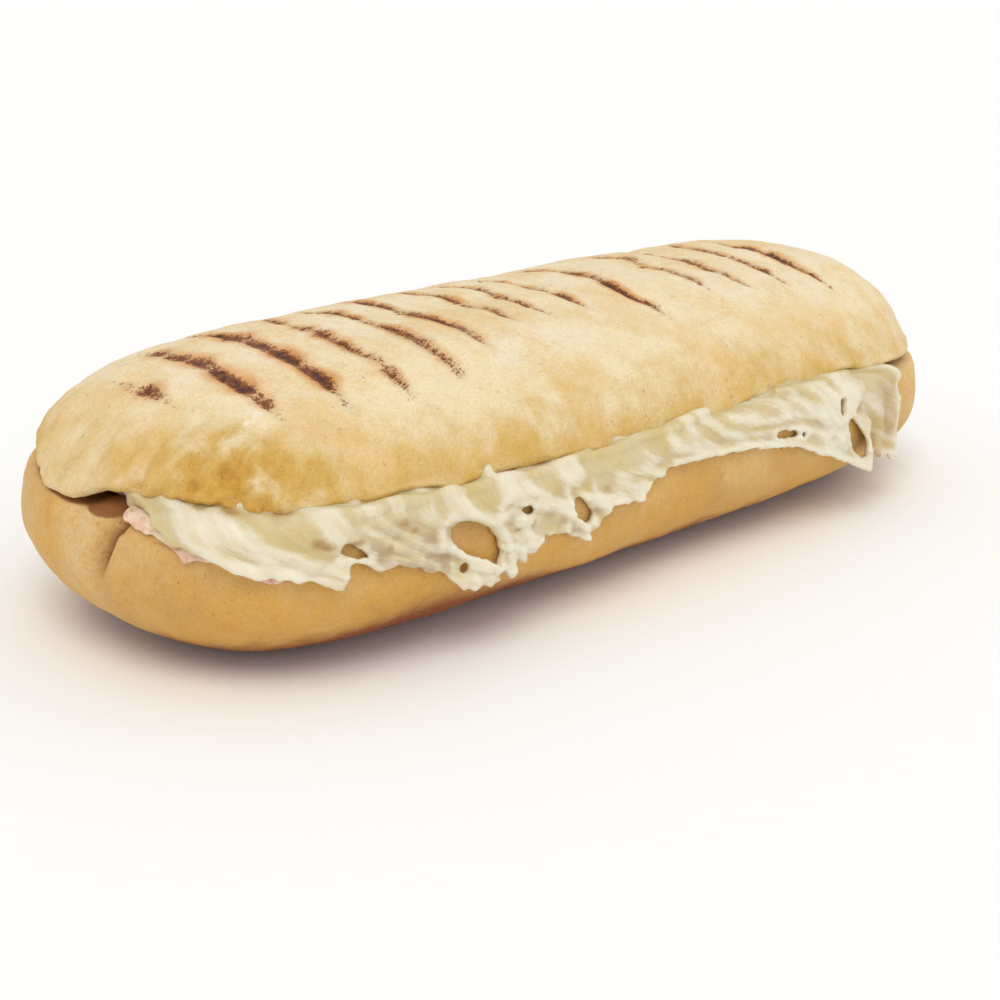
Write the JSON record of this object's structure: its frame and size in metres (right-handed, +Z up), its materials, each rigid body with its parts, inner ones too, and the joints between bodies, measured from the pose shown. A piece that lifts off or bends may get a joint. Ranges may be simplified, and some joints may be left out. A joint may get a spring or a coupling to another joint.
{
  "type": "panini",
  "caption": "Grilled panini roll slit at the side, with ham and melted cheese that hangs out over the front edge.",
  "frame": {"origin": "middle of the flat face that the roll stands on", "axes": "+X along the roll, +Z up, -Y towards the front, where the most cheese hangs out"},
  "size_m": [0.2392, 0.1022, 0.0563],
  "materials": {
    "crust_top": "matte, floury",
    "crust_bottom": "matte",
    "ham_pink": "moist, satin",
    "melted_cheese": "satin, slightly glossy"
  },
  "bodies": {
    "root": {"bread_top": "crust_top", "bread_bottom": "crust_bottom", "ham": "ham_pink", "cheese": "melted_cheese"}
  },
  "joints": []
}
